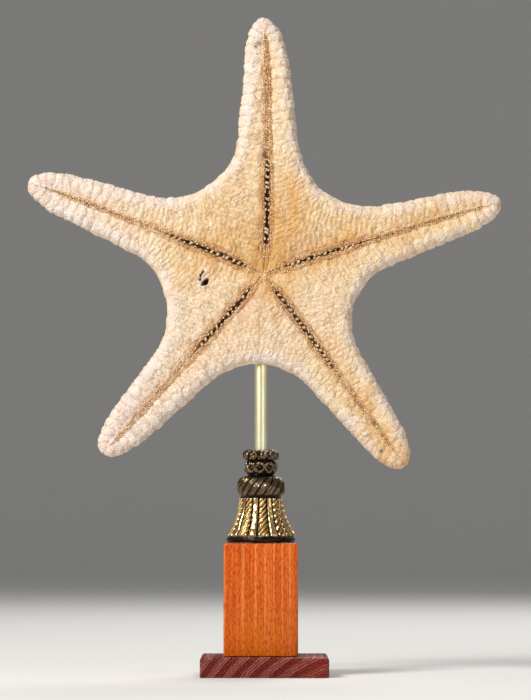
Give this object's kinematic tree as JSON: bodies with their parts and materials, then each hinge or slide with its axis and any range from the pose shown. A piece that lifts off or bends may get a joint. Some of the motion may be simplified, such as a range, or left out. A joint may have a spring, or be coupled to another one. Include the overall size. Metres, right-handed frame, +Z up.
{
  "type": "dried starfish on stand",
  "caption": "Dried starfish held upright on a brass rod, above a cast brass tassel, a square wooden block and a wooden plinth.",
  "frame": {"origin": "centre of the plinth's flat underside", "axes": "+Z up; -Y is the front, which the starfish's underside with its mouth and grooves faces; +X is to the right as seen from the front"},
  "size_m": [0.2424, 0.0654, 0.3385],
  "materials": {
    "starfish": "matt, dry and granular",
    "rod_brass": "pale, drawn and lightly polished",
    "antique_brass": "antique cast brass, dark in the recesses",
    "orange_wood": "orange stain under satin varnish",
    "red_wood": "dark red-brown stain under satin varnish",
    "screw": "plain bright"
  },
  "bodies": {
    "root": {"plinth": "red_wood", "block": "orange_wood", "base_screw_1": "screw", "base_screw_2": "screw", "tassel": "antique_brass", "rod": "rod_brass", "starfish": "starfish"}
  },
  "joints": []
}
